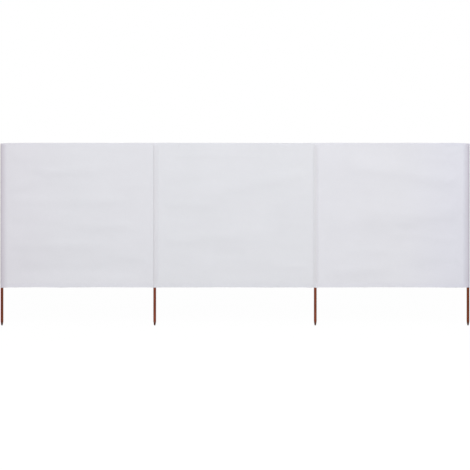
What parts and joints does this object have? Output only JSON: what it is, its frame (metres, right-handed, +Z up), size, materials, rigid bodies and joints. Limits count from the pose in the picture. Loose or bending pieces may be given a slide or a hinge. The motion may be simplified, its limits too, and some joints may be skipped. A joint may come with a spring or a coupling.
{
  "type": "beach windbreak",
  "caption": "Low fabric screen in bays, with sewn sleeves on round wooden stakes that are pushed into sand.",
  "frame": {"origin": "the middle of the left middle stake's blunt foot", "axes": "+X along the windbreak to the right as seen from the front, +Y to the back where the hems are turned, +Z up along the stakes"},
  "size_m": [3.8976, 0.0256, 1.516],
  "materials": {
    "white_cloth": "matte",
    "stake_wood": "satin"
  },
  "bodies": {
    "middle_bay": {"left_middle_stake": "stake_wood", "right_middle_stake": "stake_wood", "middle_bay_cloth": "white_cloth", "middle_top_hem": "white_cloth", "middle_bottom_hem": "white_cloth", "left_middle_pocket_front": "white_cloth", "left_middle_pocket_back": "white_cloth", "left_middle_pocket_top": "white_cloth", "right_middle_pocket_front": "white_cloth", "right_middle_pocket_back": "white_cloth", "right_middle_pocket_top": "white_cloth"},
    "left_bay": {"left_end_stake": "stake_wood", "left_end_sleeve": "white_cloth", "left_end_sleeve_top": "white_cloth", "left_bay_cloth": "white_cloth", "left_top_hem": "white_cloth", "left_bottom_hem": "white_cloth"},
    "right_bay": {"right_end_stake": "stake_wood", "right_end_sleeve": "white_cloth", "right_end_sleeve_top": "white_cloth", "right_bay_cloth": "white_cloth", "right_top_hem": "white_cloth", "right_bottom_hem": "white_cloth"}
  },
  "joints": [
    {"name": "left_fold", "type": "hinge", "parent": "middle_bay", "child": "left_bay", "pos_m": [0, 0, 0.9], "axis": [0, 0, 1], "range_deg": [-90, 90]},
    {"name": "right_fold", "type": "hinge", "parent": "middle_bay", "child": "right_bay", "pos_m": [1.334, 0, 0.9], "axis": [0, 0, -1], "range_deg": [-90, 90]}
  ]
}
